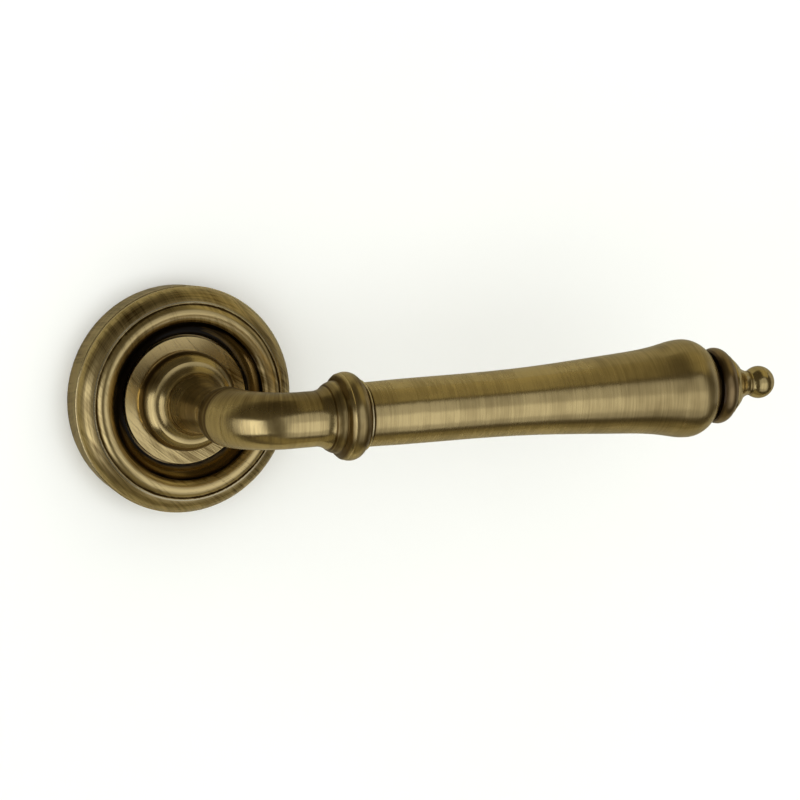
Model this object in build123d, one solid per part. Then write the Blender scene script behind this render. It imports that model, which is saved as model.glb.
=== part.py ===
from build123d import *
import math
import os

# Door lever handle on a round rose. Millimetres. +X runs along the lever, +Z is up and +Y goes
# into the door. The origin is the centre of the rose's back face, on the spindle's axis.
# Heights h are measured off the door, towards -Y. Stations s run along the lever, towards +X.

# Overall sizes
ROSE_R = 26.5            # rose, half way up its side
LEVER_H = 48.0           # lever's axis off the door
COLLAR_S = 18.75         # where the collar starts
GRIP_S = 28.2            # where the grip starts
GRIP_LENGTH = 88.0
BELL_R = 11.56           # widest part of the grip

# Rose cover
COVER_SIDE_H = 7.3       # top of its side wall
COVER_DRAFT = 0.3        # its side wall leans out by this, above and below its middle
COVER_BEAD_H = 11.9      # top of its bead
COVER_FACE = 7.82        # from its side to its hole
COVER_SKIRT = 1.45       # its skirt's thickness
DISH_SEAT = 1.92         # step behind its bead
DISH_SEAT_H = 9.9

# Sub rose and what closes it
THREAD_GAP = 0.15
SUB_TOP_H = 6.0          # round the fixings
HUB_TOP_H = 7.0          # round the bush
HUB_BOTTOM_H = 3.0
HUB_WALL = 1.4
HUB_RIM = 0.7            # raised round the spring's cavity
CAVITY_GAP = 2.0         # round the spring
PLATE_T = 1.0
PLATE_GAP = 0.55         # inside the cover's skirt

# Fixings
FIX_R = 19.0             # half of the 38 mm hole centres
POST_R = 4.0
POST_NECK_R = 3.0
POST_STEP = 0.3          # where it passes through the back plate
POST_LENGTH = 25.0       # behind the rose
POST_BORE = 12.0
BOLT_R = 2.0             # M4
BOLT_LENGTH = 32.0
BOLT_HEAD_R = 3.6
BOLT_HEAD = 2.4
SCREW_R = 1.9            # wood screws
SCREW_LENGTH = 20.0      # behind the rose
HEAD_R = 3.5             # countersunk heads
HEAD_H = 1.7
PLATE_SCREW_R = 1.25     # M2.5
PLATE_SCREW_HEAD_R = 2.3
PLATE_SCREW_PITCH_R = 20.5
PLATE_SCREW_TOP_H = 4.5

# Bearing, cam and spring
SHANK_STEP = 1.0         # shoulder the cam stands against
RUN_GAP = 0.05           # running fit, on the radius
BUSH_WALL = 1.4
BUSH_FLANGE_R = 13.5
BUSH_FLANGE_T = 0.4
END_GAP = 0.1            # between flat faces that turn on each other
TAIL_WALL = 1.27         # shank's tail outside the spindle's corners
FLAT_WALL = 1.5          # and outside the spindle's sides
SHOULDER_H = 2.75
CAM_T = 1.25
LUG_GAP = 0.7            # inside the spring's cavity
LUG_HALF_DEG = 12.0
WASHER_T = 0.3
CLIP_T = 0.6
CLIP_STAND = 1.2         # outside the tail
CLIP_DEPTH = 0.7         # its groove
TRAVEL_DEG = 45.0
STOP_R = 1.25
STOP_INSET = 1.5         # inside the lug's tip
STOP_GAP = 0.2
WIRE_R = 0.5
SPRING_GAP = 0.7         # round the hub
COIL_GAP = 0.1           # between its turns
SPRING_PLAY = 0.04       # under the cavity's roof
SPRING_TURNS = 1.6
FIT = 0.02               # pieces that are fixed to each other

# Spindle
SPINDLE_SQ = 8.0
SPINDLE_GAP = 0.05
SPINDLE_TOP_H = 14.2
SPINDLE_OUT = 60.0       # behind the rose
GRUB_R = 2.5             # M5
GRUB_H = 11.5
GRUB_LENGTH = 5.2
GRUB_KEY = 1.25          # half across its hexagon

# Lever
FLANGE_R = 15.1
FLANGE_H = 8.84
FLANGE_INNER_R = 11.7
NECK_BEAD_R = 9.67
NECK_BEAD_H = 13.5
NECK_GROOVE_R = 6.75
NECK_GROOVE_H = 16.4
NECK_WAIST_R = 5.6
NECK_WAIST_H = 26.0
BEND_R = 12.0            # bend's centre line
BEND_START_R = 6.85      # pipe at each end of the bend
BEND_END_R = 6.35
PIPE_END_R = 7.25
SPIGOT_R = 5.6
SPIGOT_LENGTH = 15.0
ROD_R = 2.5              # M5
ROD_IN_FINIAL = 2.9
ROD_START_S = 22.0
COLLAR_R = 10.15
COLLAR_RING_R = 8.2
GRIP_START_R = 7.36
SPIGOT_GAP = 0.05        # grip's bore round the spigot
CUP_R = 7.0              # seat for the end bead's spigot
CUP_DEPTH = 4.2
BEAD_GAP = 0.8           # shadow gap before the end bead
BEAD_R = 8.95
BEAD_LENGTH = 4.0
FINIAL_BASE_R = 7.43
FINIAL_NECK_R = 2.88
BALL_R = 3.84
BALL_CENTRE = 9.3        # from the finial's base

# Worked out from the sizes above
GRIP_END_S = GRIP_S + GRIP_LENGTH
BEAD_S = GRIP_END_S + BEAD_GAP
FINIAL_S = BEAD_S + BEAD_LENGTH
ROD_END_S = FINIAL_S + ROD_IN_FINIAL
GRIP_BORE_R = SPIGOT_R + SPIGOT_GAP
BEND_H = LEVER_H - BEND_R
COVER_HOLE_R = ROSE_R - COVER_FACE
COVER_THREAD_R = ROSE_R - COVER_SKIRT
DISH_SEAT_R = COVER_HOLE_R + DISH_SEAT
PLATE_R = COVER_THREAD_R - PLATE_GAP
TAIL_R = (SPINDLE_SQ / 2 + SPINDLE_GAP) * math.sqrt(2) + TAIL_WALL
TAIL_FLAT = SPINDLE_SQ / 2 + FLAT_WALL
GROOVE_R = TAIL_R - CLIP_DEPTH
CLIP_R = TAIL_R + CLIP_STAND
PLATE_HOLE_R = CLIP_R + 2 * STOP_GAP
SHANK_R = TAIL_R + SHANK_STEP
BUSH_R = SHANK_R + RUN_GAP + BUSH_WALL
HUB_R = BUSH_R + FIT + HUB_WALL
SPRING_R = HUB_R + SPRING_GAP + WIRE_R
SPRING_PITCH = 2 * WIRE_R + COIL_GAP
CAVITY_TOP_H = HUB_BOTTOM_H + 0.1 + 2 * WIRE_R + SPRING_PITCH * SPRING_TURNS + SPRING_PLAY
CAVITY_R = SPRING_R + WIRE_R + CAVITY_GAP
HUB_RAISED_R = CAVITY_R + HUB_RIM
LUG_R = CAVITY_R - LUG_GAP
STOP_PITCH_R = LUG_R - STOP_INSET
CAM_R = STOP_PITCH_R - STOP_R - 4 * STOP_GAP
FLANGE_BACK_H = HUB_TOP_H + BUSH_FLANGE_T + END_GAP
CAM_H = SHOULDER_H - CAM_T
WASHER_H = CAM_H - WASHER_T
CLIP_H = WASHER_H - CLIP_T
LUG_DEG = 90 + TRAVEL_DEG / 2
UPRIGHT = (Align.CENTER, Align.CENTER, Align.MIN)


def outline(start, *steps):
    """A closed face. A step is a point, a point and an arc's rise, two points of an arc, or a list
    of points on a smooth curve and the direction it ends in."""
    edges, at = [], start
    for step in steps:
        if isinstance(step, list):
            *points, heading = step
            lead = (points[0][0] - at[0], points[0][1] - at[1])
            edges.append(Spline(at, *points, tangents=[lead, heading]))
            at = points[-1]
            continue
        end = step[-2:] if len(step) == 4 else step[:2]
        if len(step) == 2:
            edges.append(Line(at, end))
        elif len(step) == 3:
            edges.append(SagittaArc(at, end, step[2]))
        else:
            edges.append(ThreePointArc(at, step[:2], end))
        at = end
    edges.append(Line(at, start))
    return make_face(edges)


def on_rose(face):
    """Turn an outline given as (radius, height off the door) about the spindle's axis."""
    return Rot(180, 0, 0) * revolve(face, Axis.Y)


def on_lever(face):
    """Turn an outline given as (station, radius) about the lever's axis."""
    return Pos(0, -LEVER_H, 0) * revolve(face, Axis.X)


def column(radius, low, high, x=0.0, z=0.0, top_radius=None):
    """A cylinder or cone that stands off the door, from height low to height high."""
    if top_radius is None:
        solid = Cylinder(radius, high - low, align=UPRIGHT)
    else:
        solid = Cone(radius, top_radius, high - low, align=UPRIGHT)
    return Pos(x, -low, z) * Rot(90, 0, 0) * solid


def at_angle(radius, degrees):
    return radius * math.cos(math.radians(degrees)), radius * math.sin(math.radians(degrees))


def post_places():
    return [(FIX_R, 0.0), (-FIX_R, 0.0)]


def wood_screw_places():
    return [(0.0, FIX_R), (0.0, -FIX_R)]


def plate_screw_places():
    return [at_angle(PLATE_SCREW_PITCH_R, 45 + 90 * i) for i in range(4)]


def rose_cover():
    """Turned cap: straight side, cove, fine edge, groove and a round bead."""
    wall = 1.3
    return on_rose(outline(
        (COVER_THREAD_R, 0),
        (ROSE_R - COVER_DRAFT, 0),
        (ROSE_R + COVER_DRAFT, COVER_SIDE_H),
        (ROSE_R + COVER_DRAFT - 0.3, COVER_SIDE_H + 0.4, 0.1),
        (ROSE_R - 3.0, COVER_BEAD_H - 1.15, -0.5),
        (ROSE_R - 3.25, COVER_BEAD_H - 1.05),
        (ROSE_R - 3.65, COVER_BEAD_H - 1.2, -0.12),
        (ROSE_R - 5.6, COVER_BEAD_H, COVER_HOLE_R + 0.2, COVER_BEAD_H - 0.95),
        (COVER_HOLE_R, COVER_BEAD_H - 1.1),
        (COVER_HOLE_R, DISH_SEAT_H),
        (DISH_SEAT_R, DISH_SEAT_H),
        (DISH_SEAT_R, DISH_SEAT_H - wall),
        (ROSE_R - 3.9, DISH_SEAT_H - wall),
        (COVER_THREAD_R, COVER_SIDE_H - 0.9),
    ))


def dish_ring():
    """Hollowed ring behind the cover's bead, round the lever's flange."""
    rim_r = DISH_SEAT_R - FIT
    hole_r = FLANGE_R + 0.35
    rim_h = DISH_SEAT_H - FIT
    hole_h = FLANGE_H - 0.55
    thick = 1.1
    return on_rose(outline(
        (rim_r, rim_h),
        (COVER_HOLE_R - 0.05, rim_h),
        (hole_r, hole_h, 0.35),
        (hole_r, hole_h - thick),
        (COVER_HOLE_R - 0.2, rim_h - thick),
        (rim_r, rim_h - thick),
    ))


def sub_rose():
    """Threaded base that carries the bush, holds the spring and takes the fixings."""
    outer_r = COVER_THREAD_R - THREAD_GAP
    bore_r = BUSH_R + FIT
    body = on_rose(outline(
        (CAVITY_R, PLATE_T),
        (outer_r, PLATE_T),
        (outer_r, SUB_TOP_H - 0.3),
        (outer_r - 0.3, SUB_TOP_H),
        (HUB_RAISED_R, SUB_TOP_H),
        (HUB_RAISED_R, HUB_TOP_H),
        (bore_r, HUB_TOP_H),
        (bore_r, HUB_BOTTOM_H),
        (HUB_R, HUB_BOTTOM_H),
        (HUB_R, CAVITY_TOP_H),
        (CAVITY_R, CAVITY_TOP_H),
    ))
    for x, z in post_places():
        body -= column(POST_NECK_R + FIT, 0, SUB_TOP_H - 0.99, x, z)
        body -= column(POST_NECK_R + FIT, SUB_TOP_H - 1, SUB_TOP_H, x, z, HEAD_R + FIT)
    for x, z in wood_screw_places():
        body -= column(SCREW_R + 0.3, 0, SUB_TOP_H, x, z)
        body -= column(SCREW_R + 0.1, SUB_TOP_H - HEAD_H, SUB_TOP_H, x, z, HEAD_R + 0.1)
    for x, z in plate_screw_places():
        body -= column(PLATE_SCREW_R + FIT, 0, PLATE_SCREW_TOP_H, x, z)
    slot_r = SPRING_R + 3.2
    slot = Pos(slot_r / 2 + SPRING_R / 2, -spring_top(), 0) * Box(slot_r - SPRING_R, 2 * WIRE_R + 0.3, 2 * WIRE_R + 0.4)
    return body - Rot(0, -spring_end_deg(), 0) * slot


def back_plate():
    """Steel plate that closes the spring's cavity."""
    plate = column(PLATE_R, 0, PLATE_T) - column(PLATE_HOLE_R, 0, PLATE_T)
    for x, z in post_places():
        plate -= column(POST_R + 0.1, 0, PLATE_T, x, z)
    for x, z in wood_screw_places():
        plate -= column(SCREW_R + 0.3, 0, PLATE_T, x, z)
    for x, z in plate_screw_places():
        plate -= column(PLATE_SCREW_HEAD_R + FIT, 0, PLATE_T, x, z, PLATE_SCREW_R + FIT)
    for x, z in stop_places():
        plate -= column(STOP_R + FIT, 0, PLATE_T, x, z)
    return plate


def plate_screws():
    """Countersunk screws that hold the back plate on the sub rose."""
    screws = []
    for x, z in plate_screw_places():
        screw = column(PLATE_SCREW_HEAD_R, 0, PLATE_T, x, z, PLATE_SCREW_R)
        screw += column(PLATE_SCREW_R, PLATE_T, PLATE_SCREW_TOP_H - 0.2, x, z)
        for turn in (0, 90):
            screw -= Pos(x, 0, z) * Rot(0, turn, 0) * Box(2.6, 1.0, 0.5)
        screws.append(screw)
    return Compound(children=screws)


def stop_places():
    """The stop pins stand just clear of the cam's lug at each end of its travel."""
    clear = math.degrees(math.asin((STOP_R + STOP_GAP) / STOP_PITCH_R)) + LUG_HALF_DEG
    return [
        at_angle(STOP_PITCH_R, LUG_DEG + clear),
        at_angle(STOP_PITCH_R, LUG_DEG - TRAVEL_DEG - clear),
    ]


def stop_pins():
    pins = [column(STOP_R, 0, SHOULDER_H, x, z) for x, z in stop_places()]
    return Compound(children=pins)


def bearing_bush():
    """Flanged plastic bush that the lever's shank turns in."""
    bore_r = SHANK_R + RUN_GAP
    return on_rose(outline(
        (bore_r, HUB_BOTTOM_H),
        (BUSH_R, HUB_BOTTOM_H),
        (BUSH_R, HUB_TOP_H),
        (BUSH_FLANGE_R, HUB_TOP_H),
        (BUSH_FLANGE_R, HUB_TOP_H + BUSH_FLANGE_T),
        (bore_r, HUB_TOP_H + BUSH_FLANGE_T),
    ))


def spring_bottom():
    return HUB_BOTTOM_H + 0.1 + WIRE_R


def spring_top():
    return spring_bottom() + SPRING_PITCH * SPRING_TURNS


def spring_start_deg():
    """The lower leg lies against the lug's side, where it pushes the lever up."""
    return LUG_DEG - LUG_HALF_DEG - math.degrees(math.asin((WIRE_R + 0.1) / SPRING_R))


def spring_end_deg():
    return spring_start_deg() + 360 * SPRING_TURNS


def return_spring():
    """Torsion spring: a leg down beside the cam's lug, the coil, and a leg out into the sub rose."""
    height = SPRING_PITCH * SPRING_TURNS
    coil_path = Helix(SPRING_PITCH, height, SPRING_R)
    coil = sweep(Plane(coil_path @ 0, z_dir=coil_path % 0) * Circle(WIRE_R), coil_path, is_frenet=True)
    coil = Pos(0, -spring_bottom(), 0) * Rot(90, 0, 0) * coil
    coil = Rot(0, -spring_start_deg(), 0) * coil
    x, z = at_angle(SPRING_R, spring_start_deg())
    inner_leg = column(WIRE_R, CAM_H + 0.3, spring_bottom(), x, z)
    inner_leg += Pos(x, -spring_bottom(), z) * Sphere(WIRE_R)
    leg_length = 2.9
    outer_leg = Pos(SPRING_R + leg_length / 2, -spring_top(), 0) * Rot(0, 90, 0) * Cylinder(WIRE_R, leg_length)
    outer_leg += Pos(SPRING_R, -spring_top(), 0) * Sphere(WIRE_R)
    return coil + inner_leg + Rot(0, -spring_end_deg(), 0) * outer_leg


def mounting_posts():
    """Posts riveted into the sub rose, tapped from the far end for the through bolts."""
    posts = []
    for x, z in post_places():
        post = column(POST_R, -POST_LENGTH, 0, x, z)
        post += column(POST_R - POST_STEP, 0, PLATE_T, x, z)
        post += column(POST_NECK_R, PLATE_T, SUB_TOP_H - 1, x, z)
        post += column(POST_NECK_R, SUB_TOP_H - 1, SUB_TOP_H, x, z, HEAD_R)
        post -= column(BOLT_R + RUN_GAP, -POST_LENGTH, POST_BORE - POST_LENGTH, x, z)
        posts.append(post)
    return Compound(children=posts)


def through_bolts():
    """Bolts that come through the door from its other side."""
    tip_h = POST_BORE - POST_LENGTH - 1
    bolts = []
    for x, z in post_places():
        head_h = tip_h - BOLT_LENGTH
        bolt = column(BOLT_R, head_h, tip_h, x, z)
        bolt += column(BOLT_HEAD_R - 0.6, head_h - BOLT_HEAD, head_h - BOLT_HEAD + 0.6, x, z, BOLT_HEAD_R)
        bolt += column(BOLT_HEAD_R, head_h - BOLT_HEAD + 0.6, head_h, x, z)
        for turn in (45, 135):
            bolt -= Pos(x, BOLT_HEAD - head_h, z) * Rot(0, turn, 0) * Box(4.2, 2.6, 0.9)
        bolts.append(bolt)
    return Compound(children=bolts)


def wood_screws():
    """Countersunk wood screws above and below the spindle."""
    screws = []
    for x, z in wood_screw_places():
        screw = column(SCREW_R, SUB_TOP_H - HEAD_H, SUB_TOP_H, x, z, HEAD_R)
        screw += column(SCREW_R, 4 - SCREW_LENGTH, SUB_TOP_H - HEAD_H, x, z)
        screw += column(0.2, -SCREW_LENGTH, 4 - SCREW_LENGTH, x, z, SCREW_R)
        for turn in (0, 90):
            screw -= Pos(x, -SUB_TOP_H, z) * Rot(0, turn, 0) * Box(4.0, 2.0, 0.8)
        screws.append(screw)
    return Compound(children=screws)


def square_hole(top_h):
    side = SPINDLE_SQ + 2 * SPINDLE_GAP
    return Pos(0, -top_h / 2, 0) * Box(side, top_h, side)


def tail(radius, flat, low, high):
    """The double-flat end of the shank, or the hole that fits it."""
    return column(radius, low, high) & Pos(0, -(low + high) / 2, 0) * Box(3 * radius, high - low, 2 * flat)


def neck_outline():
    """Flange, cove, bead, groove and the flare up to the bend."""
    return outline(
        (0, SHOULDER_H),
        (SHANK_R, SHOULDER_H),
        (SHANK_R, FLANGE_BACK_H),
        (FLANGE_R, FLANGE_BACK_H),
        (FLANGE_R, FLANGE_H - 0.15),
        (FLANGE_R - 0.15, FLANGE_H),
        (FLANGE_INNER_R, FLANGE_H),
        (NECK_BEAD_R, NECK_BEAD_H, -0.9),
        (NECK_GROOVE_R + 0.1, NECK_GROOVE_H, 0.75),
        (NECK_GROOVE_R - 0.1, NECK_GROOVE_H + 0.3),
        (NECK_GROOVE_R, NECK_GROOVE_H + 0.6),
        [
            (NECK_WAIST_R + 0.35, NECK_GROOVE_H + 3.5),
            (NECK_WAIST_R, NECK_WAIST_H),
            (0.7 * NECK_WAIST_R + 0.3 * BEND_START_R, 0.45 * NECK_WAIST_H + 0.55 * BEND_H),
            (BEND_START_R, BEND_H),
            (0, 1),
        ],
        (0, BEND_H),
    )


def elbow():
    """The bend, thinning along its length."""
    steps = 8
    rings = []
    for i in range(steps + 1):
        turn = math.radians(90 * i / steps)
        radius = BEND_START_R + (BEND_END_R - BEND_START_R) * i / steps
        place = Plane(
            origin=(BEND_R * (1 - math.cos(turn)), -BEND_H - BEND_R * math.sin(turn), 0),
            x_dir=(0, 0, 1),
            z_dir=(math.sin(turn), -math.cos(turn), 0),
        )
        rings.append(place * Circle(radius))
    return loft(rings)


def sideways(solid, x):
    """Lay an upright solid along +X, at the grub screw's height."""
    return Pos(x, -GRUB_H, 0) * Rot(0, 90, 0) * solid


def lever_neck():
    """Cast neck: shank, flange, bend and the spigot that carries the collar and the grip."""
    run = on_lever(outline(
        (BEND_R, 0),
        (BEND_R, BEND_END_R),
        (COLLAR_S - 3.2, BEND_END_R),
        (COLLAR_S, PIPE_END_R, -0.3),
        (COLLAR_S, SPIGOT_R),
        (COLLAR_S + SPIGOT_LENGTH - 0.5, SPIGOT_R),
        (COLLAR_S + SPIGOT_LENGTH, SPIGOT_R - 0.5),
        (COLLAR_S + SPIGOT_LENGTH, ROD_R + FIT),
        (ROD_START_S - 0.5, ROD_R + FIT),
        (ROD_START_S - 0.5, 0),
    ))
    neck = on_rose(neck_outline()) + elbow() + run
    neck += tail(TAIL_R, TAIL_FLAT, CLIP_H - 0.35, SHOULDER_H)
    neck -= column(TAIL_R + 1, CLIP_H - FIT, CLIP_H + CLIP_T + FIT) - column(GROOVE_R, CLIP_H - 1, SHOULDER_H)
    neck -= square_hole(SPINDLE_TOP_H + 0.2)
    return neck - sideways(Cylinder(GRUB_R, FLANGE_R, align=UPRIGHT), 0)


def collar_ring():
    """Turned collar: a small bead, a groove, a large bead and a thin ring."""
    end = GRIP_S - 0.15
    return on_lever(outline(
        (COLLAR_S + FIT, SPIGOT_R + FIT),
        (COLLAR_S + FIT, PIPE_END_R + 0.05),
        (COLLAR_S + 1.95, 8.25, 0.16),
        (COLLAR_S + 2.7, 8.6, -0.2),
        (COLLAR_S + 3.75, 9.85, 0.12),
        (COLLAR_S + 3.95, 9.82),
        (COLLAR_S + 5.25, COLLAR_R, GRIP_S - 1.6, 8.85),
        (GRIP_S - 1.4, 8.1, -0.1),
        (GRIP_S - 1.2, 8.05),
        (GRIP_S - 0.85, COLLAR_RING_R + 0.08, GRIP_S - 0.5, COLLAR_RING_R - 0.1),
        (end, GRIP_START_R - 0.3),
        (end, SPIGOT_R + FIT),
    ))


def grip():
    """Hollow grip: nearly straight, then flaring into a round-ended bell."""
    end = GRIP_END_S
    return on_lever(outline(
        (GRIP_S, GRIP_BORE_R),
        (GRIP_S, GRIP_START_R),
        [
            (GRIP_S + 0.08 * GRIP_LENGTH, GRIP_START_R + 0.13),
            (GRIP_S + 0.32 * GRIP_LENGTH, GRIP_START_R + 0.23),
            (GRIP_S + 0.48 * GRIP_LENGTH, 0.90 * GRIP_START_R + 0.1 * BELL_R + 0.16),
            (GRIP_S + 0.72 * GRIP_LENGTH, 0.56 * GRIP_START_R + 0.44 * BELL_R + 0.08),
            (GRIP_S + 0.86 * GRIP_LENGTH, 0.30 * GRIP_START_R + 0.70 * BELL_R + 0.32),
            (end - 6.2, BELL_R),
            (1, 0),
        ],
        (end - 2.7, BELL_R - 0.94, end - 0.2, BELL_R - 3.39),
        (end, BELL_R - 3.6),
        (end, CUP_R + FIT),
        (end - CUP_DEPTH, CUP_R + FIT),
        (end - CUP_DEPTH, GRIP_BORE_R),
    ))


def end_bead():
    """Burnished bead that closes the grip's bell."""
    seat = GRIP_END_S - CUP_DEPTH + 0.3
    return on_lever(outline(
        (seat, ROD_R + 0.1),
        (seat, CUP_R - 0.2),
        (seat + 0.2, CUP_R),
        (BEAD_S, CUP_R),
        (BEAD_S, BEAD_R - 0.7),
        (BEAD_S + 1.5, BEAD_R, FINIAL_S - 0.15, FINIAL_BASE_R + 0.5),
        (FINIAL_S, FINIAL_BASE_R - 0.1),
        (FINIAL_S, ROD_R + 0.1),
    ))


def finial():
    """Flared base, thin neck and ball, screwed on the tie rod."""
    centre = FINIAL_S + BALL_CENTRE
    neck_s = centre - math.sqrt(BALL_R**2 - (FINIAL_NECK_R + 0.05)**2)
    bore_end = ROD_END_S + 0.3
    return on_lever(outline(
        (FINIAL_S + FIT, ROD_R + FIT),
        (FINIAL_S + FIT, FINIAL_BASE_R - 0.15),
        (FINIAL_S + 0.2, FINIAL_BASE_R),
        (FINIAL_S + 0.55, FINIAL_BASE_R - 0.05),
        (FINIAL_S + 0.65, FINIAL_BASE_R - 0.3),
        (FINIAL_S + 2.9, 5.1, 0.08),
        (FINIAL_S + 5.9, FINIAL_NECK_R, -0.35),
        (neck_s, FINIAL_NECK_R + 0.05),
        (centre, BALL_R, centre + BALL_R, 0),
        (bore_end, 0),
        (bore_end, ROD_R + FIT),
    ))


def tie_rod():
    """Stud that pulls the finial, end bead and grip on to the neck."""
    rod = outline((ROD_START_S, 0), (ROD_START_S, ROD_R), (ROD_END_S, ROD_R), (ROD_END_S, 0))
    return on_lever(rod)


def drive_cam():
    """Disc on the shank's flats, with the lug that meets the stops and the spring."""
    reach = 2 * LUG_R
    x0, z0 = at_angle(reach, LUG_DEG - LUG_HALF_DEG)
    x1, z1 = at_angle(reach, LUG_DEG + LUG_HALF_DEG)
    wedge = Plane.XZ * make_face(Polyline((0, 0), (x0, z0), (x1, z1), close=True))
    wedge = Pos(0, -CAM_H, 0) * extrude(wedge, CAM_T)
    cam = column(CAM_R, CAM_H, SHOULDER_H) + (column(LUG_R, CAM_H, SHOULDER_H) & wedge)
    return cam - tail(TAIL_R + 0.03, TAIL_FLAT + 0.03, CAM_H, SHOULDER_H)


def retaining_washer():
    return column(CAM_R, WASHER_H, CAM_H) - column(TAIL_R + 0.05, WASHER_H, CAM_H)


def circlip():
    """Open ring in the shank's groove."""
    ring = column(CLIP_R, CLIP_H, CLIP_H + CLIP_T) - column(GROOVE_R + FIT, CLIP_H, CLIP_H + CLIP_T)
    return ring - Pos(0, -CLIP_H, -CLIP_R) * Box(3.4, 4 * CLIP_T, 2 * CLIP_R - 4)


def spindle():
    """Square bar through the lock."""
    length = SPINDLE_TOP_H + SPINDLE_OUT
    bar = Box(SPINDLE_SQ, length, SPINDLE_SQ)
    bar = chamfer(bar.edges().filter_by(Axis.Y, reverse=True), 0.5)
    return Pos(0, length / 2 - SPINDLE_TOP_H, 0) * bar


def grub_screw():
    """Set screw behind the lever that clamps the spindle."""
    screw = Cylinder(GRUB_R - RUN_GAP, GRUB_LENGTH, align=UPRIGHT)
    key = extrude(RegularPolygon(GRUB_KEY, 6, major_radius=False), -2.2)
    return sideways(screw - Pos(0, 0, GRUB_LENGTH) * key, SPINDLE_SQ / 2)


PIECES = [
    rose_cover, dish_ring, sub_rose, back_plate, plate_screws, stop_pins, bearing_bush,
    return_spring, mounting_posts, through_bolts, wood_screws, lever_neck, collar_ring, grip,
    end_bead, finial, tie_rod, drive_cam, retaining_washer, circlip, spindle, grub_screw,
]

os.makedirs("parts", exist_ok=True)
for piece in PIECES:
    export_step(piece(), f"parts/{piece.__name__}.step")
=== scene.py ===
import math

import bpy
from mathutils import Matrix, Vector

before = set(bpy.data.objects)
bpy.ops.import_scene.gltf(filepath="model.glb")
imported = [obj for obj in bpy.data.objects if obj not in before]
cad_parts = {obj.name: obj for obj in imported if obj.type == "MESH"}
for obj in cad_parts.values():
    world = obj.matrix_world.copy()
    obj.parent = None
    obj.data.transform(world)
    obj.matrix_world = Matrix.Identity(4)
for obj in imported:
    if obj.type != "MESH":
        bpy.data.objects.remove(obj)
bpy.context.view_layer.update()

# Rose cover: a cap of turned brass, screwed down over the sub rose. It is darkened chemically,
# then burnished by hand so that the high parts come up bright, brushed with curved strokes and
# lacquered. Its bead carries a painted highlight, and painted shade lies inside its hole and at
# its foot against the board.


def add(tree, kind, inputs=None, **settings):
    """A shader node, with its settings and with values or links on its inputs."""
    node = tree.nodes.new("ShaderNode" + kind)
    for name, value in settings.items():
        setattr(node, name, value)
    for name, value in (inputs or {}).items():
        if isinstance(value, bpy.types.NodeSocket):
            tree.links.new(value, node.inputs[name])
        else:
            node.inputs[name].default_value = value
    return node


def maths(tree, operation, *values):
    """One step of arithmetic on values that change over the surface."""
    return add(tree, "Math", dict(enumerate(values)), operation=operation).outputs[0]


def weighed(tree, first, first_share, second, second_share):
    """Two values, each times its share, added."""
    return maths(
        tree, "ADD",
        maths(tree, "MULTIPLY", first, first_share), maths(tree, "MULTIPLY", second, second_share),
    )


def off_middle(tree, value, strength):
    """How far a mark is above or below the middle, times a strength."""
    return maths(tree, "MULTIPLY", maths(tree, "SUBTRACT", value, 0.5), strength)


def blended(tree, share, first, second):
    """One colour turning into another. Each is a plain colour or comes from a node."""
    first, second = (c if isinstance(c, bpy.types.NodeSocket) else (*c, 1) for c in (first, second))
    return add(tree, "Mix", {0: share, 6: first, 7: second}, data_type="RGBA").outputs[2]


def vector(tree, x, y, z=0.0):
    return add(tree, "CombineXYZ", {0: x, 1: y, 2: z}).outputs[0]


def scaled(tree, source, factor):
    return add(tree, "VectorMath", {0: source, "Scale": factor}, operation="SCALE").outputs[0]


def parts(tree, source):
    return add(tree, "SeparateXYZ", {0: source}).outputs


def effect(name, inputs, outputs):
    """An empty node group with named inputs, and their values, and named outputs."""
    tree = bpy.data.node_groups.new(name, "ShaderNodeTree")
    for label, value in inputs.items():
        kind = "NodeSocketFloat" if isinstance(value, float) else "NodeSocketVector"
        socket = tree.interface.new_socket(label, in_out="INPUT", socket_type=kind)
        socket.default_value = value
    for label in outputs:
        tree.interface.new_socket(label, in_out="OUTPUT", socket_type="NodeSocketFloat")
    given = tree.nodes.new("NodeGroupInput").outputs
    return tree, given, tree.nodes.new("NodeGroupOutput").inputs


def placed(tree, group, **inputs):
    """One of the effects, placed in a material with its own values."""
    return add(tree, "Group", inputs, node_tree=group).outputs


# Fine marks of a brush or a lathe tool: short across the profile, long round the piece. The
# broad marks are the same at a coarser pitch.
BROAD_PITCH = 0.22
brush_marks, given, out = effect(
    "brush marks",
    {"Profile": (0, 0, 0), "Around": (0, 0, 0), "Fineness": 2600.0},
    ("Fine", "Broad"),
)
for label, pitch in (("Fine", 1.0), ("Broad", BROAD_PITCH)):
    fineness = maths(brush_marks, "MULTIPLY", given["Fineness"], pitch)
    across = parts(brush_marks, scaled(brush_marks, given["Profile"], fineness))
    around = parts(brush_marks, given["Around"])
    marks = add(
        brush_marks, "TexNoise",
        {
            "Vector": vector(brush_marks, across[0], across[1], around[0]), "W": around[1],
            "Scale": 1.0, "Detail": 2.0, "Roughness": 0.6,
        },
        noise_dimensions="4D",
    )
    brush_marks.links.new(marks.outputs[0], out[label])

# A soft line at one value of a coordinate, where dark stays in a groove, painted shade lies, or
# an edge is burnished bright or carries a painted highlight.
soft_line, given, out = effect("soft line", {"Value": 0.0, "Place": 0.0, "Width": 0.001}, ("Mask",))
away = maths(soft_line, "ABSOLUTE", maths(soft_line, "SUBTRACT", given["Value"], given["Place"]))
fade = add(
    soft_line, "MapRange",
    {"Value": away, "From Max": given["Width"], "To Min": 1.0, "To Max": 0.0},
    interpolation_type="SMOOTHSTEP",
)
soft_line.links.new(fade.outputs[0], out["Mask"])

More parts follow.
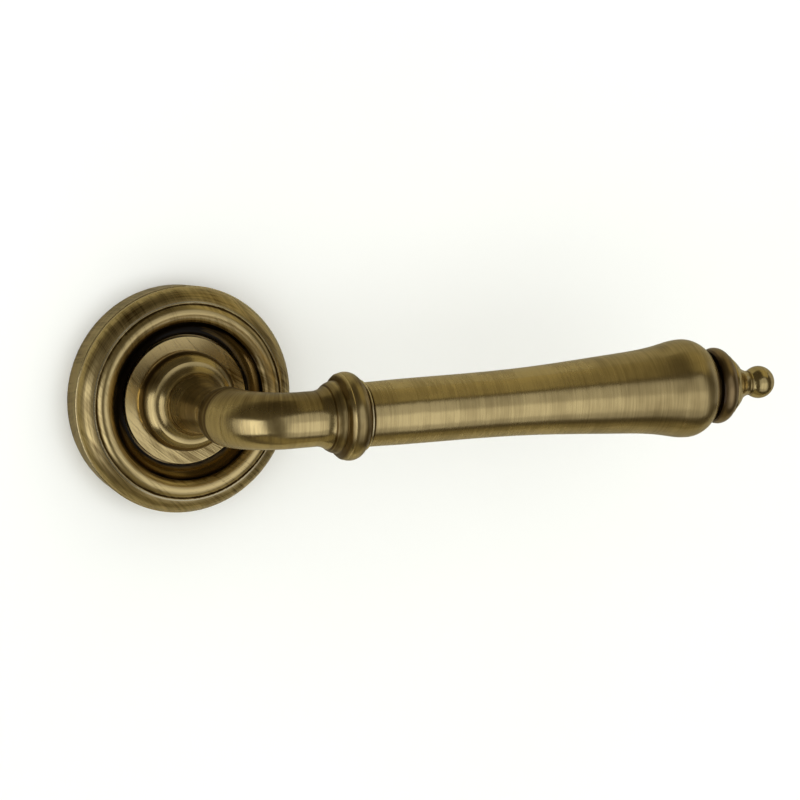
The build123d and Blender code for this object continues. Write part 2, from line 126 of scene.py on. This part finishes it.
# Uneven tone that hand burnishing leaves, in patches a few millimetres across.
uneven_tone, given, out = effect("uneven tone", {"Position": (0, 0, 0), "Scale": 120.0}, ("Mask",))
cloud = add(
    uneven_tone, "TexNoise",
    {"Vector": given["Position"], "Scale": given["Scale"], "Detail": 2.0, "Roughness": 0.55},
)
firm = add(uneven_tone, "MapRange", {"Value": cloud.outputs[0], "From Min": 0.35, "From Max": 0.7})
uneven_tone.links.new(firm.outputs[0], out["Mask"])

MARKS_ROUND = 2.2


def round_spindle(tree, place):
    """Radius, height off the door and direction for pieces turned about the spindle."""
    x, y, z = parts(tree, place)
    squares = maths(tree, "ADD", maths(tree, "MULTIPLY", x, x), maths(tree, "MULTIPLY", z, z))
    radius = maths(tree, "SQRT", squares)
    height = maths(tree, "MULTIPLY", y, -1.0)
    turn = vector(tree, maths(tree, "DIVIDE", x, radius), maths(tree, "DIVIDE", z, radius))
    return radius, height, scaled(tree, turn, MARKS_ROUND)


STROKE_WANDER = 55.0


def hand_strokes(tree, place, centre, fineness):
    """Marks along arcs about a far centre."""
    reach = add(tree, "VectorMath", {0: place, 1: centre}, operation="DISTANCE").outputs["Value"]
    drift = scaled(tree, place, STROKE_WANDER)
    return placed(
        tree, brush_marks, Profile=vector(tree, reach, 0.0), Around=drift, Fineness=fineness
    )


def lines(tree, marks):
    """The strongest of several soft lines: (coordinate, place, width, strength)."""
    total = 0.0
    for value, place, width, strength in marks:
        mask = placed(tree, soft_line, Value=value, Place=place, Width=width)[0]
        total = maths(tree, "MAXIMUM", total, maths(tree, "MULTIPLY", mask, strength))
    return total


# the pale colour of edges burnished bright and of painted highlights
RUBBED_AND_HIGHLIGHT_BRASS = (0.96, 0.86, 0.6)
FINE_IN_COLOUR = 1.2
BROAD_IN_COLOUR = 0.9
DARK_IS_DULLER = 0.14
RUBBED_IS_SMOOTHER = 0.08
LACQUER = 0.2
LACQUER_ROUGHNESS = 0.12


def antiqued(name, bright, dark, rough, shape, depth, unevenness=0.3, streaks=1.0, drag=0.0):
    """Lacquered brass. Shape gives its brush marks, how dark each point is from tarnish and painted
    shade, how far it is burnished bright or carries a painted highlight, and the way across its
    brush marks, which drags the reflections."""
    material = bpy.data.materials.new(name)
    material.use_nodes = True
    tree = material.node_tree
    shader = tree.nodes["Principled BSDF"]
    place = add(tree, "TexCoord").outputs["Object"]
    fine, broad, tarnish_and_shade, wear_and_highlight, across = shape(tree, place)
    tone = placed(tree, uneven_tone, Position=place)[0]
    streak = maths(
        tree, "ADD",
        off_middle(tree, broad, BROAD_IN_COLOUR), off_middle(tree, fine, FINE_IN_COLOUR),
    )
    # tarnish and painted shade darken the colour
    share = maths(tree, "ADD", tarnish_and_shade, maths(tree, "MULTIPLY", tone, unevenness))
    share = maths(tree, "ADD", share, maths(tree, "MULTIPLY", streak, streaks))
    share = add(tree, "Clamp", {0: maths(tree, "SUBTRACT", share, wear_and_highlight)}).outputs[0]
    # strong wear, and painted highlights, turn the colour pale
    rubbed_and_highlit = add(tree, "MapRange", {"Value": wear_and_highlight, "From Min": 0.5}).outputs[0]
    colour = blended(tree, rubbed_and_highlit, blended(tree, share, bright, dark), RUBBED_AND_HIGHLIGHT_BRASS)
    tree.links.new(colour, shader.inputs["Base Color"])
    satin = maths(tree, "ADD", rough, maths(tree, "MULTIPLY", share, DARK_IS_DULLER))
    satin = maths(tree, "SUBTRACT", satin, maths(tree, "MULTIPLY", wear_and_highlight, RUBBED_IS_SMOOTHER))
    tree.links.new(satin, shader.inputs["Roughness"])
    bump = add(tree, "Bump", {"Strength": 1.0, "Distance": depth, "Height": fine})
    tree.links.new(bump.outputs[0], shader.inputs["Normal"])
    if drag:
        turned = add(
            tree, "VectorTransform", {0: across},
            vector_type="VECTOR", convert_from="OBJECT", convert_to="WORLD",
        )
        tree.links.new(turned.outputs[0], shader.inputs["Tangent"])
        shader.inputs["Anisotropic"].default_value = drag
    shader.inputs["Metallic"].default_value = 1.0
    shader.inputs["Coat Weight"].default_value = LACQUER
    shader.inputs["Coat Roughness"].default_value = LACQUER_ROUGHNESS
    return material


def finish(node, material):
    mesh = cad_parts[node].data
    mesh.materials.clear()
    mesh.materials.append(material)


BRIGHT_BRASS = (0.76, 0.585, 0.26)
DARK_BRASS = (0.15, 0.088, 0.018)
COVER_HOLE_R = 0.01868
COVER_BEAD_R = 0.0211
GROOVE_R = 0.02285
COVE_EDGE_R = 0.02335
COVE_R = 0.0249
SIDE_TOP_H = 0.0076


def cover_shape(tree, place):
    """Turned marks crossed by hand strokes, dark in its groove and cove, with painted shade inside
    its hole and at its foot, burnished bright on its edges and with a painted highlight on its
    bead.
    """
    radius, height, around = round_spindle(tree, place)
    turned = placed(tree, brush_marks, Profile=vector(tree, radius, height), Around=around)
    strokes = hand_strokes(tree, place, centre=(0.05, 0, 0.04), fineness=2300.0)
    fine = weighed(tree, turned["Fine"], 0.5, strokes["Fine"], 0.5)
    broad = weighed(tree, turned["Broad"], 0.45, strokes["Broad"], 0.55)
    # dark in the groove and the cove; painted shade inside the hole and at the foot against the
    # board
    tarnish_and_shade = lines(tree, [
        (radius, GROOVE_R, 0.0006, 1.0),
        (radius, COVER_HOLE_R, 0.0007, 1.0),
        (radius, COVE_R, 0.0021, 0.3),
        (height, 0.0, 0.002, 0.2),
    ])
    # burnished bright on the cove's edge and the side's top; a painted highlight along the bead
    wear_and_highlight = lines(tree, [
        (radius, COVE_EDGE_R, 0.0004, 1.0),
        (height, SIDE_TOP_H, 0.0006, 0.85),
        (radius, COVER_BEAD_R, 0.0016, 0.2),
    ])
    return fine, broad, tarnish_and_shade, wear_and_highlight, None


finish("rose_cover", antiqued(
    "antique brass cover", BRIGHT_BRASS, DARK_BRASS, rough=0.3, shape=cover_shape,
    depth=1.6e-5, streaks=2.3,
))

# Dish ring: a hollowed ring of turned brass, held behind the cover's bead, round the lever's
# flange. It keeps the rings left by the lathe. Its dark colours are painted shade for its place in
# the recess, blackest along both edges and on the upper left.
# painted shade: the dish's dark brass and its black
DISH_BRASS = (0.24, 0.145, 0.035)
DISH_SHADE_BLACK = (0.008, 0.0045, 0.0015)
DISH_OUTER_R = 0.0188
DISH_INNER_R = 0.0154
SHADED_UPPER_LEFT_FROM, SHADED_UPPER_LEFT_TO = -0.004, 0.014


def dish_shape(tree, place):
    """Lathe rings, with painted shade along both edges and blacker painted shade towards the upper
    left.
    """
    radius, height, around = round_spindle(tree, place)
    turned = placed(
        tree, brush_marks, Profile=vector(tree, radius, height), Around=around, Fineness=2000.0
    )
    # painted shade along both edges
    tarnish_and_shade = lines(tree, [
        (radius, DISH_OUTER_R, 0.0013, 1.0), (radius, DISH_INNER_R, 0.0014, 1.0)
    ])
    x, _, z = parts(tree, place)
    # painted shade: black towards the upper left
    black = add(tree, "MapRange", {
        "Value": maths(tree, "SUBTRACT", z, x),
        "From Min": SHADED_UPPER_LEFT_FROM, "From Max": SHADED_UPPER_LEFT_TO,
    }).outputs[0]
    return turned["Fine"], turned["Broad"], maths(tree, "ADD", tarnish_and_shade, black), 0.0, None


finish("dish_ring", antiqued(
    "brass dish in painted shade", DISH_BRASS, DISH_SHADE_BLACK, rough=0.18, shape=dish_shape,
    depth=1.6e-5, unevenness=0.2,
))

# Neck: cast brass, turned from its flange up to the bead and polished by hand round the bend.
# The flange's flat face is brushed across with curved strokes and carries painted light on its
# upper left and painted shade on its lower right, and its rim is burnished bright. The bead and
# the bend are brushed round. Painted shade lies where the bend begins and along the top of the
# pipe, and the cove, the groove and the waist are darker.
FLANGE_R = 0.0151
FLANGE_RIM_H = 0.007
FLANGE_FACE_H = 0.00884
COVE_H = 0.0108
NECK_BEAD_H = 0.0135
NECK_BEAD_TOP_H = 0.0146
NECK_GROOVE_H = 0.01655
WAIST_H = 0.024
BEND_R = 0.012
BEND_H = 0.036
SHADED_PIPE_TOP_Z = 0.0055
COLLAR_X = 0.0188
TURNED_UP_TO_H = 0.015
POLISHED_FROM_H = 0.025
MARKS_UP, MARKS_OUT = 70.0, 30.0
# painted shade in lines where the bend begins
BEND_SHADOW, BEND_SHADE_LINE, BEND_SHADE_HAZE = -0.0004, 0.0013, 0.002
LOWER_RIGHT, UPPER_LEFT = -0.014, 0.016
LOWER_RIGHT_FACE_SHADE, UPPER_LEFT_FACE_LIGHT = -0.35, 0.2
RIM_WEAR = 1.6


def along_neck(tree, place):
    """Distance along the neck's centre line from the start of its bend, and its direction."""
    x, y, _ = parts(tree, place)
    inward = maths(tree, "SUBTRACT", BEND_R, x)
    outward = maths(tree, "SUBTRACT", maths(tree, "MULTIPLY", y, -1.0), BEND_H)
    angle = maths(
        tree, "ARCTAN2",
        maths(tree, "MAXIMUM", outward, 0.0), maths(tree, "MAXIMUM", inward, 1e-5),
    )
    straight = maths(
        tree, "SUBTRACT",
        maths(tree, "MINIMUM", outward, 0.0), maths(tree, "MINIMUM", inward, 0.0),
    )
    reach = maths(tree, "ADD", maths(tree, "MULTIPLY", angle, BEND_R), straight)
    cosine = maths(tree, "COSINE", angle)
    return reach, vector(tree, maths(tree, "SINE", angle), maths(tree, "MULTIPLY", cosine, -1.0))


FIRST_STROKES, SECOND_STROKES = 1.5, 1.2
FACE_CONTRAST = 1.7
FACE_MIDDLE = 0.42


def face_strokes(tree, place):
    """Two sets of strokes that cross at a slight angle, as fine marks and as a strong tone."""
    first = hand_strokes(tree, place, centre=(0.04, 0, 0.045), fineness=4200.0)
    second = hand_strokes(tree, place, centre=(0.06, 0, 0.025), fineness=3900.0)
    crossed = weighed(tree, first["Broad"], 1.0, first["Fine"], FIRST_STROKES)
    crossed = maths(tree, "ADD", crossed, maths(tree, "MULTIPLY", second["Fine"], SECOND_STROKES))
    middle = (1 + FIRST_STROKES + SECOND_STROKES) / 2
    tone = maths(
        tree, "MULTIPLY_ADD",
        maths(tree, "SUBTRACT", crossed, middle), FACE_CONTRAST, FACE_MIDDLE,
    )
    return first["Fine"], tone


def neck_shape(tree, place):
    """Strokes across the flange's face, marks round the rest, painted light and shade, and the dark
    and burnished places.
    """
    radius, height, _ = round_spindle(tree, place)
    x, y, z = parts(tree, place)
    slow = vector(
        tree, maths(tree, "MULTIPLY", z, MARKS_UP), maths(tree, "MULTIPLY", y, MARKS_OUT)
    )
    reach, heading = along_neck(tree, place)
    run = placed(tree, brush_marks, Profile=vector(tree, reach, 0.0), Around=slow)
    face = placed(tree, soft_line, Value=height, Place=FLANGE_FACE_H, Width=0.0012)[0]
    face_fine, face_tone = face_strokes(tree, place)
    fine = add(tree, "Mix", {0: face, 2: run["Fine"], 3: face_fine}).outputs[0]
    broad = add(tree, "Mix", {0: face, 2: run["Broad"], 3: face_tone}).outputs[0]
    # darker in the cove, the groove and about the waist; painted shade where the bend begins and
    # along the top of the pipe; dark at the collar's joint
    tarnish_and_shade = lines(tree, [
        (height, COVE_H, 0.0021, 0.95),
        (height, NECK_GROOVE_H, 0.0007, 0.95),
        (height, WAIST_H, 0.011, 0.55),
        (height, NECK_BEAD_TOP_H, 0.003, 0.35),
        (reach, BEND_SHADOW, 0.0032, 1.0),
        (reach, BEND_SHADE_LINE, 0.0007, 1.2),
        (reach, BEND_SHADE_HAZE, 0.008, 0.2),
        (z, SHADED_PIPE_TOP_Z, 0.0045, 0.55),
        (x, COLLAR_X, 0.0003, 0.9),
    ])
    # painted light on the flange face's upper left, painted shade on its lower right
    polished = add(tree, "MapRange", {
        "Value": maths(tree, "SUBTRACT", z, x),
        "From Min": LOWER_RIGHT, "From Max": UPPER_LEFT,
        "To Min": LOWER_RIGHT_FACE_SHADE, "To Max": UPPER_LEFT_FACE_LIGHT,
    }).outputs[0]
    tarnish_and_shade = maths(tree, "SUBTRACT", tarnish_and_shade, maths(tree, "MULTIPLY", polished, face))
    low = placed(tree, soft_line, Value=height, Place=FLANGE_RIM_H, Width=0.003)[0]
    edge = placed(tree, soft_line, Value=radius, Place=FLANGE_R, Width=0.0004)[0]
    rim = maths(tree, "MULTIPLY", maths(tree, "MULTIPLY", edge, low), RIM_WEAR)
    wear_and_highlight = maths(tree, "MAXIMUM", lines(tree, [(height, NECK_BEAD_H, 0.0007, 0.2)]), rim)
    outward = add(tree, "VectorMath", {0: place, 1: (1, 0, 1)}, operation="MULTIPLY").outputs[0]
    outward = add(tree, "VectorMath", {0: outward}, operation="NORMALIZE").outputs[0]
    turned = add(tree, "MapRange", {
        "Value": height, "From Min": POLISHED_FROM_H, "From Max": TURNED_UP_TO_H
    }).outputs[0]
    lean = scaled(tree, outward, turned)
    across = add(tree, "VectorMath", {0: heading, 1: lean}, operation="SUBTRACT").outputs[0]
    return fine, broad, tarnish_and_shade, wear_and_highlight, across


finish("lever_neck", antiqued(
    "antique brass neck", BRIGHT_BRASS, DARK_BRASS, rough=0.22, shape=neck_shape,
    depth=1e-5, streaks=0.7, drag=0.5,
))

# Collar: a loose ring turned from bar, with a small bead, a large bead and a thin ring, slipped
# over the neck's spigot. It is dark at its joints, painted shade lies in its grooves and in bands
# over its beads, it is darker in patches, and its edges are burnished bright.
MARKS_ACROSS = 70.0
MARKS_SKEW = 25.0
SMALL_BEAD_X = 0.0195
BEADS_GROOVE_X = 0.0215
LARGE_BEAD_EDGE_X = 0.0226
LARGE_BEAD_X = 0.0255
RING_GROOVE_X = 0.02685
THIN_RING_X = 0.0274
COLLAR_END_X = 0.0281


def turned_on_lever(marks, edges):
    """A shape brushed round the lever's axis, with dark marks, of tarnish and painted shade, and
    edges burnished bright, each given as (station along the lever, width, strength)."""
    def shape(tree, place):
        x, y, z = parts(tree, place)
        slow = vector(
            tree,
            weighed(tree, y, MARKS_ACROSS, z, MARKS_SKEW),
            weighed(tree, z, MARKS_ACROSS, y, -MARKS_SKEW),
        )
        run = placed(tree, brush_marks, Profile=vector(tree, x, 0.0), Around=slow)
        tarnish_and_shade = lines(tree, [(x, *mark) for mark in marks])
        wear_and_highlight = lines(tree, [(x, *edge) for edge in edges])
        return run["Fine"], run["Broad"], tarnish_and_shade, wear_and_highlight, vector(tree, 1.0, 0.0)
    return shape


# painted shade in the grooves and in bands over both beads; the joints are dark
collar_shape = turned_on_lever(
    marks=[
        (COLLAR_X, 0.0005, 1.0),
        (SMALL_BEAD_X, 0.0015, 0.4),
        (BEADS_GROOVE_X, 0.001, 0.9),
        (LARGE_BEAD_X, 0.002, 0.3),
        (RING_GROOVE_X, 0.0004, 0.8),
        (COLLAR_END_X, 0.0004, 0.9),
    ],
    edges=[(LARGE_BEAD_EDGE_X, 0.0003, 0.3), (THIN_RING_X, 0.0004, 0.8)],
)
finish("collar_ring", antiqued(
    "antique brass collar", BRIGHT_BRASS, DARK_BRASS, rough=0.26, shape=collar_shape,
    depth=8e-6, unevenness=0.75, streaks=0.6, drag=0.4,
))

# Grip: brass tube spun out to a bell, slipped over the neck's spigot and brushed round its whole
# length. The bell is a little darker than the rest, and its round end is worn.
GRIP_START_X = 0.0282
BELL_X = 0.1
BELL_EDGE_X = 0.1145
BELL_END_X = 0.1161
# painted shadow darkens the end of the bell, in the gap to the end bead
grip_shape = turned_on_lever(
    marks=[(GRIP_START_X, 0.0004, 0.9), (BELL_X, 0.03, 0.25), (BELL_END_X, 0.001, 0.9)],
    edges=[(BELL_EDGE_X, 0.0008, 0.35)],
)
finish("grip", antiqued(
    "antique brass grip", BRIGHT_BRASS, DARK_BRASS, rough=0.25, shape=grip_shape,
    depth=4e-6, streaks=0.55, drag=0.6,
))

# End bead: turned brass let into the end of the bell and held there by the tie rod. It is left
# darker than the grip, and painted shadow makes it blackest where it leaves the bell.
BEAD_BRASS = (0.34, 0.235, 0.105)
BEAD_DARK = (0.08, 0.045, 0.016)
BEAD_START_X = 0.1171
BEAD_RIDGE_X = 0.1188
bead_shape = turned_on_lever(
    marks=[(BEAD_START_X, 0.0007, 0.9)], edges=[(BEAD_RIDGE_X, 0.001, 0.2)]
)
finish("end_bead", antiqued(
    "burnished brass bead", BEAD_BRASS, BEAD_DARK, rough=0.3, shape=bead_shape,
    depth=1.6e-5, drag=0.5,
))

# Finial: a ball on a flared base, turned from brass bar, polished, and screwed on the tie rod to
# hold the grip together. Dark stays in the step of its base and round its neck.
FINIAL_BRASS = (0.66, 0.51, 0.22)
FINIAL_RIM_X = 0.1213
FINIAL_STEP_X = 0.12165
FINIAL_NECK_X = 0.1273
finial_shape = turned_on_lever(
    marks=[(FINIAL_STEP_X, 0.0003, 0.7), (FINIAL_NECK_X, 0.0007, 0.8)],
    edges=[(FINIAL_RIM_X, 0.0004, 0.3)],
)
finish("finial", antiqued(
    "polished brass finial", FINIAL_BRASS, DARK_BRASS, rough=0.2, shape=finial_shape,
    depth=8e-6, unevenness=0.15,
))

# Works behind the cover and in the door: pressed, turned and drawn steel parts, zinc plated,
# blacked or left bright, a sub rose of plain machined brass and a nylon bush. They are never
# polished.
TOOL_FINENESS = 1800.0
PATCHES_IN_COLOUR, TOOLING_IN_COLOUR = 0.6, 0.4


def plain(name, light, deep, rough, spread, patches, depth, metallic=1.0):
    """A surface as it leaves the plating bath, the lathe or the mould."""
    material = bpy.data.materials.new(name)
    material.use_nodes = True
    tree = material.node_tree
    shader = tree.nodes["Principled BSDF"]
    place = add(tree, "TexCoord").outputs["Object"]
    tone = placed(tree, uneven_tone, Position=place, Scale=patches)[0]
    radius, height, around = round_spindle(tree, place)
    tooled = placed(
        tree, brush_marks,
        Profile=vector(tree, radius, height), Around=around, Fineness=TOOL_FINENESS,
    )
    mixed = weighed(tree, tone, PATCHES_IN_COLOUR, tooled["Broad"], TOOLING_IN_COLOUR)
    share = add(tree, "Clamp", {0: mixed}).outputs[0]
    tree.links.new(blended(tree, share, light, deep), shader.inputs["Base Color"])
    matt = maths(tree, "ADD", rough, maths(tree, "MULTIPLY", share, spread))
    tree.links.new(matt, shader.inputs["Roughness"])
    bump = add(tree, "Bump", {"Strength": 1.0, "Distance": depth, "Height": tooled["Fine"]})
    tree.links.new(bump.outputs[0], shader.inputs["Normal"])
    shader.inputs["Metallic"].default_value = metallic
    return material


zinc = plain(
    "zinc plated steel", (0.72, 0.73, 0.72), (0.5, 0.5, 0.49),
    rough=0.36, spread=0.2, patches=260.0, depth=6e-6,
)
drawn = plain(
    "bright spring steel", (0.55, 0.55, 0.56), (0.35, 0.35, 0.37),
    rough=0.2, spread=0.15, patches=500.0, depth=5e-6,
)
oxide = plain(
    "black oxide steel", (0.055, 0.055, 0.058), (0.03, 0.03, 0.03),
    rough=0.35, spread=0.2, patches=700.0, depth=4e-6, metallic=0.6,
)
raw = plain(
    "machined brass", (0.72, 0.55, 0.27), (0.5, 0.36, 0.16),
    rough=0.25, spread=0.2, patches=200.0, depth=2e-5,
)
nylon = plain(
    "white nylon", (0.83, 0.82, 0.78), (0.74, 0.73, 0.68),
    rough=0.45, spread=0.15, patches=900.0, depth=6e-6, metallic=0.0,
)
works = {
    "back_plate": zinc, "plate_screws": zinc, "mounting_posts": zinc, "through_bolts": zinc,
    "wood_screws": zinc, "tie_rod": zinc, "drive_cam": zinc, "retaining_washer": zinc,
    "spindle": zinc, "stop_pins": drawn, "return_spring": drawn, "circlip": drawn,
    "grub_screw": oxide, "sub_rose": raw, "bearing_bush": nylon,
}
for node, material in works.items():
    finish(node, material)

# Sample board and floor: the handle is fixed to an upright board, matt and nearly white, above a
# pale floor. The board shows only from its front, so that the fixings can be seen from behind,
# and it stands a hair in front of the back plate's outer face, so that light still reaches that.
BOARD_LEFT, BOARD_RIGHT = -0.3, 0.42
BOARD_FOOT, BOARD_TOP = -0.3, 0.32
BOARD_Y = -0.0002
BOARD_PAINT = (0.91, 0.915, 0.865)
FLOOR_Z = -0.34
FLOOR_SIZE = 4
FLOOR_PAINT = (0.8, 0.8, 0.78)
PAINT_PATCH_SHADE = 0.975
PAINT_IN_REFLECTIONS = (0.3, 0.28, 0.2)
UPRIGHT, LEVEL = (math.pi / 2, 0, 0), (0, 0, 0)


def flat_piece(name, location, rotation, size, colour, one_sided):
    """A painted sheet, darker in reflections than to the eye."""
    bpy.ops.mesh.primitive_plane_add(size=1, location=location, rotation=rotation)
    piece = bpy.context.object
    piece.name = name
    piece.scale = (*size, 1)
    bpy.ops.object.transform_apply(location=True, rotation=True, scale=True)
    material = bpy.data.materials.new(name)
    material.use_nodes = True
    tree = material.node_tree
    shader = tree.nodes["Principled BSDF"]
    shader.inputs["Roughness"].default_value = 0.9
    shader.inputs["Specular IOR Level"].default_value = 0.1
    place = add(tree, "TexCoord").outputs["Object"]
    tone = placed(tree, uneven_tone, Position=place, Scale=9.0)[0]
    paint = blended(tree, tone, colour, tuple(PAINT_PATCH_SHADE * c for c in colour))
    glossy = add(tree, "LightPath").outputs["Is Glossy Ray"]
    seen = blended(tree, glossy, paint, PAINT_IN_REFLECTIONS)
    tree.links.new(seen, shader.inputs["Base Color"])
    if one_sided:
        behind = add(tree, "NewGeometry").outputs["Backfacing"]
        clear = add(tree, "BsdfTransparent").outputs[0]
        both = add(tree, "MixShader", {0: behind, 1: shader.outputs[0], 2: clear}).outputs[0]
        tree.links.new(both, tree.nodes["Material Output"].inputs["Surface"])
    piece.data.materials.append(material)
    return piece


bpy.ops.object.select_all(action="DESELECT")
flat_piece(
    "sample board",
    ((BOARD_LEFT + BOARD_RIGHT) / 2, BOARD_Y, (BOARD_FOOT + BOARD_TOP) / 2), UPRIGHT,
    (BOARD_RIGHT - BOARD_LEFT, BOARD_TOP - BOARD_FOOT), BOARD_PAINT, one_sided=True,
)
floor = flat_piece(
    "floor", (0, 0, FLOOR_Z), LEVEL, (FLOOR_SIZE, FLOOR_SIZE), FLOOR_PAINT, one_sided=False
)
floor.visible_glossy = False

# Lights: a tall softbox in front, a little to the right, with a smaller one in it, a softbox on
# the left, a golden panel above and a golden strip below, and weak fills on the right and behind
# for the sides and the fixings. The room is bright to the eye but dark in reflections.
MIDDLE = Vector((0.055, -0.03, 0))
COOL = (0.96, 1, 1.1)
NEUTRAL = (1, 1, 1)
GOLD = (1, 0.9, 0.52)
ROOM = (1.06, 1.06, 1.06)
ROOM_IN_REFLECTIONS = (0.07, 0.06, 0.04)


def softbox(name, azimuth, elevation, distance, size, glow, tint, roll=0):
    """A rectangular light of even glow, facing the handle. Azimuth goes from front to right."""
    light = bpy.data.lights.new(name, "AREA")
    light.shape = "RECTANGLE"
    light.size, light.size_y = size
    light.energy = glow * math.pi * size[0] * size[1]
    light.color = tint
    holder = bpy.data.objects.new(name, light)
    bpy.context.scene.collection.objects.link(holder)
    turn, lift = math.radians(azimuth), math.radians(elevation)
    away = Vector((
        math.sin(turn) * math.cos(lift),
        -math.cos(turn) * math.cos(lift),
        math.sin(lift),
    ))
    facing = (-away).to_track_quat("-Z", "Y").to_matrix()
    facing = facing @ Matrix.Rotation(math.radians(roll), 3, "Z")
    holder.matrix_world = facing.to_4x4()
    holder.location = MIDDLE + away * distance
    holder.visible_camera = False


softbox("front softbox", 20, -14, distance=0.9, size=(1.0, 1.8), glow=0.4, tint=COOL, roll=14)
softbox("front lamp", 20, -21, distance=0.85, size=(0.7, 0.6), glow=0.3, tint=COOL)
softbox("left softbox", -60, -16, distance=0.9, size=(0.62, 0.9), glow=1.1, tint=COOL)
softbox("top panel", 68, 50, distance=0.8, size=(0.5, 0.75), glow=0.32, tint=GOLD, roll=-56)
softbox("lower bounce", 26, -80, distance=0.28, size=(0.5, 0.12), glow=0.14, tint=GOLD)
softbox("right fill", 98, 6, distance=0.9, size=(0.6, 0.9), glow=0.3, tint=COOL)
softbox("rear fill", 150, 4, distance=0.9, size=(1.4, 1.4), glow=0.4, tint=NEUTRAL)

world = bpy.data.worlds.new("studio")
bpy.context.scene.world = world
world.use_nodes = True
world.cycles.sampling_method = "NONE"
tree = world.node_tree
glossy = add(tree, "LightPath").outputs["Is Glossy Ray"]
shade = blended(tree, glossy, ROOM, ROOM_IN_REFLECTIONS)
tree.links.new(shade, tree.nodes["Background"].inputs["Color"])

# Camera: a long lens one metre away, on the left and a little above, held a little out of level.
# The colours are shown plainly, with no film curve.
VIEW_AZIMUTH, VIEW_ELEVATION = math.radians(-23.7), math.radians(9.0)
VIEW_ROLL = math.radians(-0.75)
VIEW_MIDDLE = Vector((0.0585, 0, -0.0056))
LENS_MM = 186.6
SENSOR_MM = 36
back = Vector((
    math.sin(VIEW_AZIMUTH) * math.cos(VIEW_ELEVATION),
    -math.cos(VIEW_AZIMUTH) * math.cos(VIEW_ELEVATION),
    math.sin(VIEW_ELEVATION),
))
right = Vector((math.cos(VIEW_AZIMUTH), math.sin(VIEW_AZIMUTH), 0))
up = back.cross(right)
axes = (
    math.cos(VIEW_ROLL) * right + math.sin(VIEW_ROLL) * up,
    -math.sin(VIEW_ROLL) * right + math.cos(VIEW_ROLL) * up,
    back,
)
camera = bpy.data.objects.new("camera", bpy.data.cameras.new("camera"))
bpy.context.scene.collection.objects.link(camera)
camera.matrix_world = Matrix([[*v] for v in zip(*axes)]).to_4x4()
camera.location = VIEW_MIDDLE + back
camera.data.sensor_width = SENSOR_MM
camera.data.lens = LENS_MM
bpy.context.scene.camera = camera
bpy.context.scene.view_settings.view_transform = "Standard"
